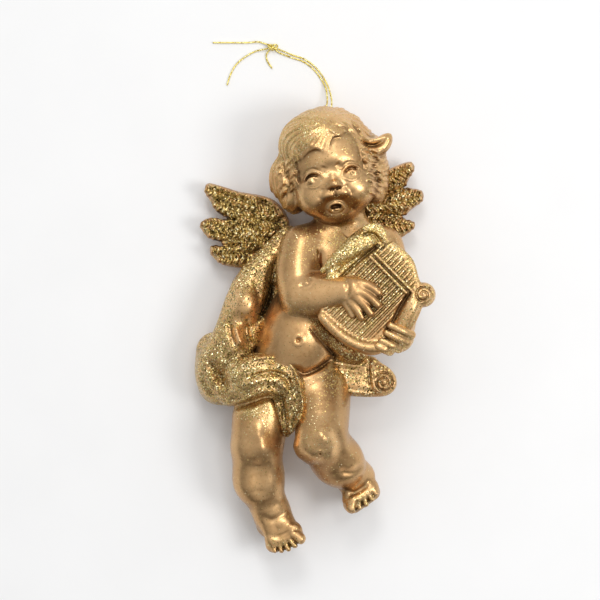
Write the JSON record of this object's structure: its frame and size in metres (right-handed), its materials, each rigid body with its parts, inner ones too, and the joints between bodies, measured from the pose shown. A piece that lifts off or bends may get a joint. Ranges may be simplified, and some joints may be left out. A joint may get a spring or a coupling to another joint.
{
  "type": "hanging cherub ornament",
  "caption": "Cast resin cherub ornament with wings, a lyre and a length of drape, finished in satin gold and glitter, with a gold hanging thread.",
  "frame": {"origin": "the middle of the ornament's length and width, on the surface that it lies on", "axes": "+Y from the feet to the crown of the head, +Z out of the chest, +X to the cherub's own left"},
  "size_m": [0.0629, 0.1391, 0.0315],
  "materials": {
    "gold_paint": "cast resin with satin metallic gold paint, slightly grainy",
    "gold_glitter": "cast resin with satin gold paint under coarse olive-gold glitter",
    "brass_wire": "plain drawn brass wire",
    "gold_thread": "twisted metallic gold thread"
  },
  "bodies": {
    "figure": {"body": "gold_paint", "head": "gold_paint", "right_arm": "gold_paint", "left_arm": "gold_paint", "lyre": "gold_glitter", "drape": "gold_glitter", "drape_tail": "gold_glitter", "right_wing": "gold_glitter", "left_wing": "gold_glitter", "hanging_eye": "brass_wire"},
    "thread": {"thread_loop_right": "gold_thread", "thread_loop_left": "gold_thread", "thread_knot": "gold_thread", "thread_tail_straight": "gold_thread", "thread_tail_curved": "gold_thread", "thread_tail_short": "gold_thread"}
  },
  "joints": [
    {"name": "thread_swing", "type": "hinge", "parent": "figure", "child": "thread", "pos_m": [0.00463, 0.05825, 0.00352], "axis": [1, 0, 0], "range_deg": [0, 70]}
  ]
}
